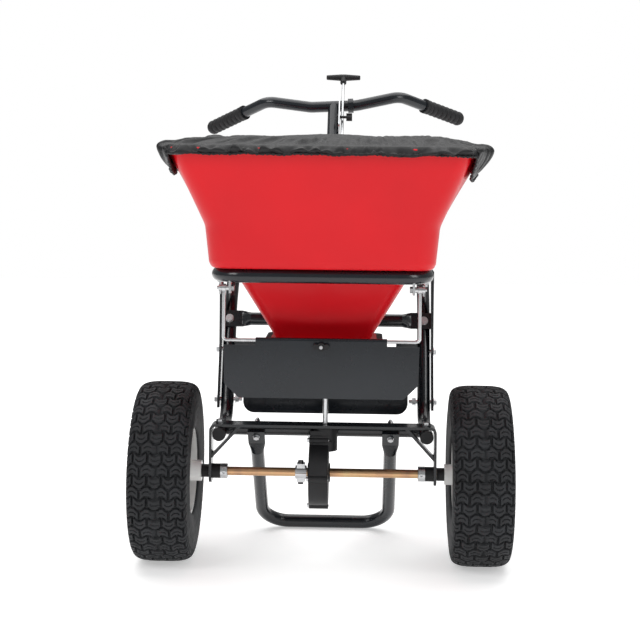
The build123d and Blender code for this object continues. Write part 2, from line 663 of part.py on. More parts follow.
def ring_bolts():
    low = RING_Z - RING_TUBE_R - SIDE_GAP - BAR_THICKNESS
    head_room = BAR_THICKNESS + SIDE_GAP + 12
    shank = rod((RING_X, STRAP_TOP_Y, low), (RING_X, STRAP_TOP_Y, low + head_room), 3)
    shank += rod((RING_X, STRAP_TOP_Y, low - 1.2), (RING_X, STRAP_TOP_Y, low), 6.5)
    shank += hex_prism((RING_X, STRAP_TOP_Y, low - 1.2), (0, 0, -1), 10, 4)
    return pair(shank)


def rear_guard():
    """Bent guard plate behind the impeller, its two ears bolted inside the uprights."""
    y, half, thick = 140.0, 162.0, 2.5
    bottom, top = 250.0, 372.0
    outline = RectangleRounded(2 * half, top - bottom, 22)
    place = Plane(origin=(0, y, (top + bottom) / 2), x_dir=(1, 0, 0), z_dir=(0, 1, 0))
    plate = extrude(place * outline, amount=thick)
    plate += box((-half, y, 330), (half, y + thick, top))
    ear_x = FRAME_X - TUBE_R - 0.3
    for s in (-1, 1):
        x0, x1 = sorted((s * (ear_x - thick), s * ear_x))
        a0, a1 = sorted((s * (half - 24), s * ear_x))
        ear = box((a0, y, 344), (a1, y + thick, 392)) + box((x0, y, 344), (x1, upright_y(371) + 12, 392))
        plate += ear
        plate = drill(plate, (s * 150, upright_y(HIGH_BOLT_Z), HIGH_BOLT_Z),
                      (s * 200, upright_y(HIGH_BOLT_Z), HIGH_BOLT_Z), 4)
    return plate


# ------------------------------------------------------------------ handle
def bar_points():
    y, z = BAR_CENTRE
    right = [Vector(BAR_FLAT_X, y, z), Vector(*BAR_PEAK), Vector(*BAR_END)]
    left = [Vector(-p.X, p.Y, p.Z) for p in reversed(right)]
    return left + right


def rolled(shape):
    """Turn a part of the handlebar about the post's head, where it is clamped out of level."""
    y, z = BAR_CENTRE
    return Pos(0, y, z) * Rot(0, -BAR_ROLL, 0) * Pos(0, -y, -z) * shape


def handlebar():
    return rolled(bent_tube(bar_points(), [45, 60, 60, 45], BAR_R, BAR_R - 1.6))


def grip(side):
    """Ribbed rubber grip over the last stretch of the bar."""
    end = Vector(side * BAR_END[0], *BAR_END[1:])
    peak = Vector(side * BAR_PEAK[0], *BAR_PEAK[1:])
    back = (peak - end).normalized()
    place = Plane(origin=end - back * 4, z_dir=back)
    profile = [Line((0, 0), (GRIP_R - 3, 0)), ThreePointArc((GRIP_R - 3, 0), (GRIP_R - 1, 1), (GRIP_R, 3))]
    ribs = 8
    step = (GRIP_LENGTH - 10) / ribs
    for k in range(ribs):
        low = 3 + step * k
        profile.append(ThreePointArc((GRIP_R, low), (GRIP_R + 2.6, low + step / 2), (GRIP_R, low + step)))
    last = 3 + step * ribs
    profile.append(Line((GRIP_R, last), (GRIP_R + 3, last)))
    profile.append(Line((GRIP_R + 3, last), (GRIP_R + 3, GRIP_LENGTH)))
    profile.append(Line((GRIP_R + 3, GRIP_LENGTH), (0, GRIP_LENGTH)))
    profile.append(Line((0, GRIP_LENGTH), (0, 0)))
    flat = Plane.XZ * Face(Wire(profile))
    shape = place * revolve(flat, Axis.Z, 360)
    shape -= rod(end, peak, BAR_R)
    return rolled(shape)


def bar_clamp():
    """Clip that guides the control rod beside the bar's centre."""
    y, z = BAR_CENTRE
    shape = sleeve((33, y, z), (45, y, z), BAR_R + 4, BAR_R)
    shape += box((33, y - 24, z - 6), (45, y - 14, z + 6))
    return rolled(shape)


def post():
    shape = sleeve(post_point(0, 0), post_point(0, POST_LENGTH), TUBE_R, TUBE_BORE)
    shape -= rod((-60, CROSS_Y, CROSS_TUBE_Z), (60, CROSS_Y, CROSS_TUBE_Z), TUBE_R)
    y, z = BAR_CENTRE
    return shape - rolled(rod((-60, y, z), (60, y, z), BAR_R))


def gauge_plane():
    return Plane(origin=post_point(TUBE_R, POST_LENGTH), x_dir=(0, *POST_UP), z_dir=(1, 0, 0))


def gauge_plate():
    """Slotted plate on the post that carries the stop knob."""
    outline = Pos(14, 44.5) * RectangleRounded(40, 99, 6)
    slot = Pos(STOP_LIFT, 50) * Rot(0, 0, 90) * SlotOverall(70, 6.4)
    shape = extrude(gauge_plane() * (outline - slot), amount=2.5)
    y, z = BAR_CENTRE
    shape -= rolled(rod((-60, y, z), (60, y, z), BAR_R + 0.1))
    return shape


def stop_knob():
    """Screw and lobed knob that set how far the control rod may open."""
    def at(x):
        return post_point(x, POST_LENGTH - 62, STOP_LIFT)
    shape = rod(at(TUBE_R - 4), at(42), 3)
    shape += rod(at(TUBE_R - 4), at(TUBE_R - 0.3), 5.5)
    shape += rod(at(TUBE_R + 2.8), at(TUBE_R + 4.4), 5.5)
    shape += rod(at(30), at(43), 7.5)
    centre = at(0)
    for k in range(6):
        turn = math.radians(60 * k)
        y, z = centre.Y + 7.5 * math.cos(turn), centre.Z + 7.5 * math.sin(turn)
        shape += rod((30, y, z), (43, y, z), 2.2)
    return shape


KNOB_ALONG = (KNOB_Z - CROSS_TUBE_Z - POST_UP[1] * ROD_LIFT) / POST[1]
PIN_ALONG = (LUG_Y - CROSS_Y - POST_UP[0] * ROD_LIFT) / POST[0]


def control_rod():
    """Long rod from the knob to the shutter, with a cross pin at its lower end."""
    low = post_point(ROD_X, PIN_ALONG - 5, ROD_LIFT)
    high = post_point(ROD_X, KNOB_ALONG, ROD_LIFT)
    shape = rod(low, high, ROD_R)
    pin = post_point(0, PIN_ALONG, ROD_LIFT)
    shape += rod((ROD_X, pin.Y, pin.Z), (ROD_X + 9.5, pin.Y, pin.Z), 2.5)
    return shape


def control_knob():
    """T-shaped knob with two tapered wings and a boss over the rod."""
    profile = [Line((-6, 7.6), (6, 7.6)), Line((39, 0), (-39, 0))]
    for s in (-1, 1):
        profile.append(Line((s * 39, 0), (s * 39, 3.5)))
        profile.append(ThreePointArc((s * 39, 3.5), (s * 38, 5), (s * 36, 5.5)))
        profile.append(Line((s * 36, 5.5), (s * 6, 7.6)))
    centre = post_point(ROD_X, KNOB_ALONG, ROD_LIFT)
    shape = Pos(*centre) * revolve(Face(Wire(profile)), Axis.X, 360)
    shape += rod(post_point(ROD_X, KNOB_ALONG - 18, ROD_LIFT), centre, 7)
    return shape - rod(post_point(ROD_X, KNOB_ALONG - 30, ROD_LIFT), centre, ROD_R)

# ------------------------------------------------------------------ hopper
def plan(z, sizes, grow=0.0):
    """Plan outline at one height: bowed sides and rounded corners, grown outwards."""
    x, front, back, corner, bow = sizes
    x, front, back = x + grow, front - grow, back + grow
    corner = max(corner + grow, 4)
    cut = corner * (1 - math.sqrt(0.5))
    middle = (front + back) / 2

    def arc(a, b, c):
        return ThreePointArc((*a, z), (*b, z), (*c, z))
    edges = [
        arc((corner - x, front), (0, front - FRONT_BOW), (x - corner, front)),
        arc((x - corner, front), (x - cut, front + cut), (x, front + corner)),
        arc((x, front + corner), (x + bow, middle), (x, back - corner)),
        arc((x, back - corner), (x - cut, back - cut), (x - corner, back)),
        arc((x - corner, back), (0, back + FRONT_BOW), (corner - x, back)),
        arc((corner - x, back), (cut - x, back - cut), (-x, back - corner)),
        arc((-x, back - corner), (-x - bow, middle), (-x, front + corner)),
        arc((-x, front + corner), (cut - x, front + cut), (corner - x, front)),
    ]
    return Face(Wire(edges))


def tier(low_z, low, high_z, high, low_grow=0.0, high_grow=0.0):
    return loft([plan(low_z, low, low_grow), plan(high_z, high, high_grow)], ruled=True)


FLANGE_GROW = 16.0
FLANGE_BOLTS = [(s * 62.0, y) for s in (-1, 1) for y in (-75.5, 81.5)]


def hopper():
    """Moulded bin and funnel in one wall, with a rolled rim and an outlet flange."""
    shape = tier(KINK_Z, KINK_PLAN, RIM_Z, RIM_PLAN)
    shape += tier(LEDGE_Z, BIN_PLAN, KINK_Z, KINK_PLAN)
    shape += tier(OUTLET_Z, OUTLET_PLAN, LEDGE_Z + 0.01, FUNNEL_PLAN)
    shape += extrude(plan(RIM_Z - 8, RIM_PLAN, 3.5), amount=8)
    shape += extrude(plan(OUTLET_Z, OUTLET_PLAN, FLANGE_GROW), amount=4)
    shape -= tier(KINK_Z, KINK_PLAN, RIM_Z + 0.01, RIM_PLAN, -WALL, -WALL)
    shape -= tier(LEDGE_Z + WALL, BIN_PLAN, KINK_Z, KINK_PLAN, -WALL, -WALL)
    shape -= tier(OUTLET_Z - 0.01, OUTLET_PLAN, LEDGE_Z + WALL, FUNNEL_PLAN, -WALL, -WALL)
    for x, y in HOPPER_BOLTS:
        shape = drill(shape, (x, y, 540), (x, y, 580), 3)
    for x, y in FLANGE_BOLTS:
        shape = drill(shape, (x, y, 405), (x, y, 425), 2.5)
    return shape


def hopper_bolts():
    """Bolts that hold the hopper's ledge down on the ring."""
    bolts = []
    for x, y in HOPPER_BOLTS:
        grip = WALL + SIDE_GAP + 2 * RING_TUBE_R
        bolts.append(bolt((x, y, LEDGE_Z + WALL), (0, 0, -1), 3, grip))
    return Compound(children=bolts)


def base_plate():
    """Plate under the funnel with two outlet ports and the top bearing of the shaft."""
    low = OUTLET_Z - BASE_THICKNESS
    shape = box((-110, -112, low), (110, 100, OUTLET_Z))
    shape = fillet(shape.edges().filter_by(Axis.Z), 18)
    shape -= rod((SHAFT_X, 0, 400), (SHAFT_X, 0, 420), SHAFT_R + RUNNING_GAP)
    for x in (-30, 34):
        shape -= rod((x, -35, 400), (x, -35, 420), 11)
    for x, y in FLANGE_BOLTS + GUIDE_SCREWS:
        shape = drill(shape, (x, y, 405), (x, y, 425), 2.5)
    return shape


GUIDE_SCREWS = [(s * 60.0, y) for s in (-1, 1) for y in (-30.0, 40.0)]


def base_screws():
    screws = []
    for x, y in FLANGE_BOLTS:
        screw = rod((x, y, OUTLET_Z - BASE_THICKNESS - 6), (x, y, OUTLET_Z + 4), 2.5)
        screw += rod((x, y, OUTLET_Z + 4), (x, y, OUTLET_Z + 7), 4)
        screws.append(screw + hex_prism((x, y, OUTLET_Z - BASE_THICKNESS), (0, 0, -1), 8, 4))
    return Compound(children=screws)


def shutter_guides():
    """Two stepped strips that carry the shutter's edges under the base plate."""
    top = OUTLET_Z - BASE_THICKNESS
    low = top - SHUTTER_THICKNESS - 2.8
    guide = box((50.3, -60, low), (70, 70, top)) - box((49, -61, low + 2.4), (52.5, 71, top + 1))
    guide += box((46, -60, low), (51, 70, low + 2.2))
    for x, y in GUIDE_SCREWS:
        if x > 0:
            guide += rod((x, y, top), (x, y, top + 3.8), 2.5)
    return pair(guide)


def shutter():
    """Sliding plate with two ports, a slot around the shaft and a slotted lug for the rod."""
    top = OUTLET_Z - BASE_THICKNESS - 0.3
    low = top - SHUTTER_THICKNESS + 0.1
    shape = box((-52, -58, low), (52, 90, top))
    shape += box((ROD_X + 5, 80, low), (40, LUG_Y - 2, top))
    travel = ROD_TRAVEL * POST[0]
    slot = Pos(SHAFT_X, travel / 2, low - 1) * Rot(0, 0, 90) * SlotOverall(travel + 14, 13)
    shape -= extrude(slot, amount=10)
    for x in (-30, 34):
        shape -= rod((x, travel - 35, low - 5), (x, travel - 35, top + 5), 11)
    pin = post_point(0, PIN_ALONG, ROD_LIFT)
    drop = ROD_TRAVEL * POST[1]
    lug_x = ROD_X + 5
    shape += box((lug_x, LUG_Y - 6, pin.Z - drop - 7), (lug_x + 3, LUG_Y + 5, pin.Z + 7))
    place = Plane(origin=(lug_x - 1, pin.Y, pin.Z - drop / 2), x_dir=(0, 0, 1), z_dir=(1, 0, 0))
    shape -= extrude(place * SlotOverall(drop + 6.6, 5.9), amount=6)
    return shape


def hopper_cover():
    """Fabric cover drawn over the rim: a low cap with an elastic hem."""
    hem, shoulder, top = RIM_Z - 12, RIM_Z + 6, RIM_Z + 24
    shape = tier(hem, RIM_PLAN, shoulder, RIM_PLAN, 8, 8)
    shape += tier(shoulder, RIM_PLAN, top, RIM_PLAN, 8, -26)
    inside_top = RIM_Z + 0.4
    shape -= tier(hem - 0.01, RIM_PLAN, inside_top, RIM_PLAN, 4.5, 4.5)
    shape -= tier(inside_top, RIM_PLAN, top - 5, RIM_PLAN, -5, -34)
    return shape


# ------------------------------------------------------------------ deflector
def bail_clips():
    """Plates under the ring's front corners, each with the bail's pivot bolt and its nut."""
    plate = box((160, BAIL_Y - 9, BAIL_TOP_Z - 9), (164, BAIL_Y + 9, RING_Z - 4))
    path = ring_path()
    keep_out = sweep(Plane(origin=path @ 0, z_dir=path % 0) * Circle(RING_TUBE_R + 0.05), path=path)
    plate -= keep_out
    plate = plate.solids().sort_by(SortBy.VOLUME)[-1]
    shape = plate + rod((155, BAIL_Y, BAIL_TOP_Z), (185, BAIL_Y, BAIL_TOP_Z), 3)
    shape += hex_prism((160, BAIL_Y, BAIL_TOP_Z), (-1, 0, 0), 10, 5)
    shape += rod((164, BAIL_Y, BAIL_TOP_Z), (169.4, BAIL_Y, BAIL_TOP_Z), 5)
    shape += rod((176.8, BAIL_Y, BAIL_TOP_Z), (182, BAIL_Y, BAIL_TOP_Z), 6)
    shape += box((178, BAIL_Y - 2, BAIL_TOP_Z - 11), (181, BAIL_Y + 2, BAIL_TOP_Z + 8))
    return pair(shape)


def deflector_bail():
    """Bent rod that carries the panel, with an eye at each upper end."""
    right = Vector(BAIL_X, BAIL_Y, BAIL_TOP_Z - 5)
    low = Vector(BAIL_X, BAIL_Y, BAIL_ROD_Z)
    points = [Vector(-right.X, right.Y, right.Z), Vector(-low.X, low.Y, low.Z), low, right]
    shape = bent_tube(points, [6, 6], 3)
    for s in (-1, 1):
        x0, x1 = s * (BAIL_X - 3.4), s * (BAIL_X + 3.4)
        shape += rod((x0, BAIL_Y, BAIL_TOP_Z), (x1, BAIL_Y, BAIL_TOP_Z), 7)
        shape -= rod((s * (BAIL_X - 9), BAIL_Y, BAIL_TOP_Z), (s * (BAIL_X + 9), BAIL_Y, BAIL_TOP_Z), 3.05)
    return shape


PANEL_HEM_R = 3.05
PANEL_FRONT_Y = BAIL_Y - PANEL_HEM_R - PANEL_THICKNESS
PANEL_TAB_X = 116.0
PANEL_X = 173.0
KNOB_CENTRE_Z = 423.0


def deflector_panel():
    """Flat panel with tapered lower corners, its top tab rolled around the bail."""
    outline = [(-PANEL_TAB_X, BAIL_ROD_Z), (PANEL_TAB_X, BAIL_ROD_Z), (PANEL_TAB_X, 424), (PANEL_X, 424),
               (PANEL_X - 2, 356), (145, PANEL_BOTTOM_Z), (-145, PANEL_BOTTOM_Z),
               (2 - PANEL_X, 356), (-PANEL_X, 424), (-PANEL_TAB_X, 424)]
    front_face = outline_face([(x, PANEL_FRONT_Y, z) for x, z in outline])
    shape = extrude(front_face, amount=PANEL_THICKNESS, dir=(0, 1, 0))
    low_corners = shape.edges().filter_by(Axis.Y).group_by(Axis.Z)[0:2]
    shape = fillet([*low_corners[0], *low_corners[1]], 7)
    outer = PANEL_HEM_R + PANEL_THICKNESS
    shape += rod((-PANEL_TAB_X, BAIL_Y, BAIL_ROD_Z), (PANEL_TAB_X, BAIL_Y, BAIL_ROD_Z), outer)
    shape -= rod((-PANEL_TAB_X - 1, BAIL_Y, BAIL_ROD_Z), (PANEL_TAB_X + 1, BAIL_Y, BAIL_ROD_Z), PANEL_HEM_R)
    return drill(shape, (0, -190, KNOB_CENTRE_Z), (0, -150, KNOB_CENTRE_Z), 3)


def panel_clamp():
    low = box((-12, PANEL_FRONT_Y + PANEL_THICKNESS, 412), (12, BAIL_Y + 4, 426))
    return drill(low, (0, -190, KNOB_CENTRE_Z), (0, -150, KNOB_CENTRE_Z), 3)


def panel_screw():
    shape = rod((0, PANEL_FRONT_Y - 16, KNOB_CENTRE_Z), (0, BAIL_Y + 4, KNOB_CENTRE_Z), 3)
    shape += rod((0, PANEL_FRONT_Y - 1.5, KNOB_CENTRE_Z), (0, PANEL_FRONT_Y, KNOB_CENTRE_Z), 6.5)
    return shape + hex_prism((0, BAIL_Y + 4, KNOB_CENTRE_Z), (0, 1, 0), 10, 4)


def panel_knob():
    """Two-winged knob on the panel's clamp screw."""
    back, front = PANEL_FRONT_Y - 1.8, PANEL_FRONT_Y - 13
    shape = rod((0, back, KNOB_CENTRE_Z), (0, front, KNOB_CENTRE_Z), 7)
    for s in (-1, 1):
        wing = rod((s * 9.5, back - 3, KNOB_CENTRE_Z), (s * 9.5, front, KNOB_CENTRE_Z), 5)
        shape += wing
    return shape - rod((0, back + 1, KNOB_CENTRE_Z), (0, front - 1, KNOB_CENTRE_Z), 3.05)


# ------------------------------------------------------------------ assembly
def build_nodes():
    case = gearbox_case()
    left_half = box((-80, -120, 60), (CASE_SPLIT, 120, 300))
    right_strap, right_tube, right_brace = strap(), frame_tube(), brace()
    return {
        "frame_tube_left": mirrored(right_tube),
        "frame_tube_right": right_tube,
        "frame_plugs": frame_plugs(),
        "handle_brace_left": mirrored(right_brace),
        "handle_brace_right": right_brace,
        "front_crossbar": front_crossbar(),
        "mid_cross_tube": mid_cross_tube(),
        "axle_bracket": axle_bracket(),
        "bracket_gussets": bracket_gussets(),
        "frame_bolts": Compound(children=[*bracket_bolts().solids(), *cross_bolts().solids()]),
        "kickstand": kickstand(),
        "kickstand_bolts": stand_bolts(),
        "hopper_ring": hopper_ring(),
        "hopper_strap_left": mirrored(right_strap),
        "hopper_strap_right": right_strap,
        "strap_bolts": strap_bolts(),
        "rear_guard": rear_guard(),
        "post": post(),
        "handlebar": handlebar(),
        "grip_left": grip(-1),
        "grip_right": grip(1),
        "bar_clamp": bar_clamp(),
        "gauge_plate": gauge_plate(),
        "stop_knob": stop_knob(),
        "control_rod": control_rod(),
        "control_knob": control_knob(),
        "hopper": hopper(),
        "hopper_bolts": Compound(children=[*hopper_bolts().solids(), *ring_bolts().solids()]),
        "hopper_cover": hopper_cover(),
        "base_plate": base_plate(),
        "base_screws": base_screws(),
        "shutter_guides": shutter_guides(),
        "shutter": shutter(),
        "axle": axle(),
        "axle_bearings": axle_bearings(),
        "axle_spacers": axle_spacers(),
        "axle_collars": axle_collars(),
        "axle_end_pins": Compound(children=[*axle_washers().solids(), *cotter_pins().solids()]),
        "drive_pin": drive_pin(),
        "gearbox_collar": gearbox_collar(),
        "collar_bolts": collar_bolts(),
        "gearbox_shell_left": case & left_half,
        "gearbox_shell_right": case - left_half,
        "gearbox_screws": gearbox_screws(),
        "ring_gear": ring_gear(),
        "pinion": pinion(),
        "impeller_shaft": impeller_shaft(),
        "impeller": Compound(children=[impeller(), impeller_pin()]),
        "agitator": agitator(),
        "tyre_left": tyre(-1),
        "tyre_right": tyre(1),
        "rim_left": Compound(children=[rim(-1), valve(-1)]),
        "rim_right": Compound(children=[rim(1), valve(1)]),
        "hub_left": Compound(children=[hub(-1, BUSH_RADIUS), *free_wheel_bushes().solids()]),
        "hub_right": drive_hub(),
        "bail_clips": bail_clips(),
        "deflector_bail": deflector_bail(),
        "deflector_panel": deflector_panel(),
        "panel_clamp": Compound(children=[panel_clamp(), panel_screw()]),
        "panel_knob": panel_knob(),
    }


def main():
    nodes = build_nodes()
    boxes = [shape.bounding_box() for shape in nodes.values()]
    front = min(b.min.Y for b in boxes)
    back = max(b.max.Y for b in boxes)
    shift = -(front + back) / 2
    print("nodes", len(nodes), "shift_y", round(shift, 4))
    for name, shape in nodes.items():
        export_step(Pos(0, shift, 0) * shape, f"parts/{name}.step")


main()
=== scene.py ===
import json
import math
import bmesh
import bpy
import numpy as np
from mathutils import Matrix, Vector


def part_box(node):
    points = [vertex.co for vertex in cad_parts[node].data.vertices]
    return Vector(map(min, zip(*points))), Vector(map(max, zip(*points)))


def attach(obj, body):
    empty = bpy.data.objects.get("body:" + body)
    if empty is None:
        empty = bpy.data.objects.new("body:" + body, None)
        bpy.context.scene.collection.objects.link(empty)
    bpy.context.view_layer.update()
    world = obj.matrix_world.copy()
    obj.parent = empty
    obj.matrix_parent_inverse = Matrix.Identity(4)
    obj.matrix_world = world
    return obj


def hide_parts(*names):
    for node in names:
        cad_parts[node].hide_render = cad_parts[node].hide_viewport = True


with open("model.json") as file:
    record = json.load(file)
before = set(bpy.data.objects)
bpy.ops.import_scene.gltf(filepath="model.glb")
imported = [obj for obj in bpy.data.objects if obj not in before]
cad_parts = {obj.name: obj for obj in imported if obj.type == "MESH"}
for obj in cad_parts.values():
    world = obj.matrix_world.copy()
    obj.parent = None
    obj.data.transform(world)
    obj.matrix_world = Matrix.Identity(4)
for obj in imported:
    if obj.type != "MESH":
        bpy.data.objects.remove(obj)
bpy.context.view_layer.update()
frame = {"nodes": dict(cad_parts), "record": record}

# Looks of the walk-behind broadcast spreader, in metres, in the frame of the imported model.
axle_low, axle_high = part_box("axle")
AXLE_Y = (axle_low.y + axle_high.y) / 2
AXLE_Z = (axle_low.z + axle_high.z) / 2
rng = np.random.default_rng(7)


# ------------------------------------------------------------------ materials
class Nodes:
    """A material's node tree with short calls for the nodes used here."""

    def __init__(self, name, base, roughness, metallic=0.0):
        self.material = bpy.data.materials.new(name)
        self.material.use_nodes = True
        self.tree = self.material.node_tree
        self.tree.nodes.clear()
        self.shader = self.tree.nodes.new("ShaderNodeBsdfPrincipled")
        output = self.tree.nodes.new("ShaderNodeOutputMaterial")
        self.link(self.shader.outputs[0], output.inputs[0])
        self.shader.inputs["Base Color"].default_value = (*base, 1)
        self.shader.inputs["Roughness"].default_value = roughness
        self.shader.inputs["Metallic"].default_value = metallic
        self.shader.inputs["Specular IOR Level"].default_value = 0.35
        self.base = base
        self.coords = self.tree.nodes.new("ShaderNodeTexCoord").outputs["Object"]

    def link(self, a, b):
        self.tree.links.new(a, b)

    def scaled(self, factors):
        mapping = self.tree.nodes.new("ShaderNodeMapping")
        mapping.inputs["Scale"].default_value = factors
        self.link(self.coords, mapping.inputs["Vector"])
        return mapping.outputs[0]

    def noise(self, scale, detail=3.0, vector=None):
        node = self.tree.nodes.new("ShaderNodeTexNoise")
        node.inputs["Scale"].default_value = scale
        node.inputs["Detail"].default_value = detail
        self.link(vector or self.coords, node.inputs["Vector"])
        return node.outputs["Fac"]

    def wave(self, scale, direction, distortion=0.0, vector=None):
        node = self.tree.nodes.new("ShaderNodeTexWave")
        node.bands_direction = direction
        node.inputs["Scale"].default_value = scale
        node.inputs["Distortion"].default_value = distortion
        self.link(vector or self.coords, node.inputs["Vector"])
        return node.outputs["Fac"]

    def math(self, kind, a, b):
        node = self.tree.nodes.new("ShaderNodeMath")
        node.operation = kind
        for socket, value in zip(node.inputs, (a, b)):
            if isinstance(value, (int, float)):
                socket.default_value = value
            else:
                self.link(value, socket)
        return node.outputs[0]

    def ramp(self, value, stops):
        node = self.tree.nodes.new("ShaderNodeValToRGB")
        for k, (place, colour) in enumerate(stops):
            element = node.color_ramp.elements[k] if k < 2 else node.color_ramp.elements.new(place)
            element.position = place
            element.color = (*colour, 1)
        self.link(value, node.inputs[0])
        return node.outputs[0]

    def colour(self, value, dark=0.85, light=1.12, low=0.3, high=0.7):
        stops = [(low, [c * dark for c in self.base]), (high, [min(c * light, 1) for c in self.base])]
        self.link(self.ramp(value, stops), self.shader.inputs["Base Color"])

    def roughness(self, value, low, high):
        node = self.tree.nodes.new("ShaderNodeMapRange")
        node.inputs["To Min"].default_value = low
        node.inputs["To Max"].default_value = high
        self.link(value, node.inputs["Value"])
        self.link(node.outputs[0], self.shader.inputs["Roughness"])

    def bump(self, value, strength, distance):
        node = self.tree.nodes.new("ShaderNodeBump")
        node.inputs["Strength"].default_value = strength
        node.inputs["Distance"].default_value = distance
        self.link(value, node.inputs["Height"])
        self.link(node.outputs[0], self.shader.inputs["Normal"])

    def coat(self, weight, roughness):
        self.shader.inputs["Coat Weight"].default_value = weight
        self.shader.inputs["Coat Roughness"].default_value = roughness


def powder_coat(name, base, gloss):
    """Black or white powder coat: faint orange peel, slightly uneven gloss and dust."""
    m = Nodes(name, base, gloss)
    m.colour(m.noise(9, 5), 0.85, 1.35)
    m.roughness(m.noise(26, 4), gloss - 0.05, gloss + 0.1)
    m.bump(m.noise(900, 2), 0.12, 0.0004)
    m.coat(0.35, 0.12)
    return m.material


def black_plastic():
    m = Nodes("black_plastic", (0.009, 0.009, 0.010), 0.5)
    m.colour(m.noise(30, 4), 0.8, 1.3)
    m.roughness(m.noise(60, 4), 0.42, 0.6)
    m.bump(m.noise(1400, 2), 0.25, 0.0004)
    return m.material


def grip_rubber():
    m = Nodes("grip_rubber", (0.010, 0.010, 0.011), 0.62)
    m.colour(m.noise(40, 5), 0.75, 1.4)
    m.roughness(m.noise(80, 4), 0.5, 0.75)
    m.bump(m.noise(1800, 3), 0.35, 0.0005)
    return m.material


def tyre_rubber():
    """Black rubber with a faint grey bloom and fine mould texture."""
    m = Nodes("tyre_rubber", (0.012, 0.013, 0.015), 0.7)
    m.colour(m.noise(22, 6), 0.7, 1.6, 0.35, 0.75)
    m.roughness(m.noise(50, 4), 0.55, 0.8)
    m.bump(m.noise(700, 4), 0.3, 0.0006)
    return m.material


def red_poly():
    """Moulded polyethylene: satin red with fine grain and slow waves of the mould."""
    m = Nodes("red_poly", (0.60, 0.0035, 0.009), 0.36)
    m.colour(m.noise(5, 3), 0.93, 1.05)
    m.roughness(m.noise(14, 4), 0.30, 0.42)
    grain = m.math("MULTIPLY", m.noise(1100, 2), 0.35)
    m.bump(m.math("ADD", grain, m.noise(10, 2)), 0.10, 0.0012)
    m.shader.inputs["Specular IOR Level"].default_value = 0.22
    m.coat(0.06, 0.2)
    return m.material


def nylon():
    """Coated black nylon: a fine plain weave over soft creases."""
    m = Nodes("cover_fabric", (0.002, 0.0022, 0.003), 0.38)
    m.colour(m.noise(35, 4), 0.8, 1.35)
    warp = m.wave(420, "X")
    weft = m.wave(420, "Y")
    weave = m.math("MAXIMUM", warp, weft)
    m.bump(m.math("ADD", weave, m.noise(120, 4)), 0.35, 0.0006)
    m.shader.inputs["Sheen Weight"].default_value = 0.03
    m.shader.inputs["Sheen Roughness"].default_value = 0.4
    return m.material


def plated(name, base, streak_axis, dark, light):
    """Plated steel with fine drawing marks along one axis and faint stains."""
    m = Nodes(name, base, 0.3, 1.0)
    factors = [900, 900, 900]
    factors["XYZ".index(streak_axis)] = 25
    streaks = m.noise(1.0, 2, m.scaled(factors))
    m.colour(m.noise(28, 5), dark, light)
    m.roughness(streaks, 0.2, 0.42)
    m.bump(streaks, 0.08, 0.0003)
    return m.material


def yellow_zinc():
    """Yellow chromate on the axle: gold that drifts to copper and pink along the bar."""
    m = Nodes("yellow_zinc", (0.55, 0.36, 0.2), 0.3, 1.0)
    drift = m.noise(1.0, 4, m.scaled((30, 12, 12)))
    m.link(m.ramp(drift, [(0.3, (0.62, 0.46, 0.24)), (0.52, (0.60, 0.36, 0.2)), (0.72, (0.42, 0.26, 0.18))]),
           m.shader.inputs["Base Color"])
    streaks = m.noise(1.0, 2, m.scaled((25, 900, 900)))
    m.roughness(streaks, 0.22, 0.42)
    m.bump(streaks, 0.06, 0.0003)
    return m.material


def gear_steel():
    m = Nodes("gear_steel", (0.2, 0.2, 0.21), 0.4, 1.0)
    m.colour(m.noise(60, 5), 0.6, 1.3)
    m.roughness(m.noise(90, 4), 0.3, 0.5)
    m.bump(m.noise(500, 3), 0.2, 0.0004)
    return m.material


MATERIALS = {
    "painted_black": powder_coat("painted_black", (0.005, 0.007, 0.010), 0.24),
    "black_plastic": black_plastic(),
    "grip_rubber": grip_rubber(),
    "tyre_rubber": tyre_rubber(),
    "rim_white": powder_coat("rim_white", (0.70, 0.70, 0.69), 0.35),
    "red_poly": red_poly(),
    "cover_fabric": nylon(),
    "yellow_zinc": yellow_zinc(),
    "zinc_steel": plated("zinc_steel", (0.60, 0.61, 0.62), "Z", 0.8, 1.15),
    "dark_bolts": powder_coat("dark_bolts", (0.03, 0.03, 0.032), 0.3),
    "gear_steel": gear_steel(),
}


def paint_frame():
    """Each carried-over node takes the material of its slot."""
    for part in frame["record"]["subparts"]:
        node = frame["nodes"][part["node"]]
        node.data.materials.clear()
        node.data.materials.append(MATERIALS[part["material_slot"]])


# ------------------------------------------------------------------ mesh helpers
def mesh_object(name, points, faces, slot, smooth_angle=40):
    data = bpy.data.meshes.new(name)
    data.from_pydata([tuple(p) for p in points], [], [tuple(f) for f in faces])
    data.validate()
    piece = bpy.data.objects.new(name, data)
    bpy.context.scene.collection.objects.link(piece)
    data.materials.append(MATERIALS[slot])
    data.shade_smooth()
    data.set_sharp_from_angle(angle=math.radians(smooth_angle))
    return piece


def grid_faces(rows, columns, wrap_rows=False, wrap_columns=False):
    """Quads of a rows x columns grid of points, closed around either way if asked."""
    r_count = rows if wrap_rows else rows - 1
    c_count = columns if wrap_columns else columns - 1
    faces = []
    for r in range(r_count):
        for c in range(c_count):
            r2, c2 = (r + 1) % rows, (c + 1) % columns
            faces.append((r * columns + c, r * columns + c2, r2 * columns + c2, r2 * columns + c))
    return faces


def smooth_step(x, low, high):
    t = np.clip((x - low) / (high - low), 0, 1)
    return t * t * (3 - 2 * t)


# ------------------------------------------------------------------ tyres
TYRE_STEPS = 880
TREAD_ROWS = 52
TREAD_DEPTH = 0.0048
BLOCK_WIDTH = 0.0262
GROOVE = 0.0042


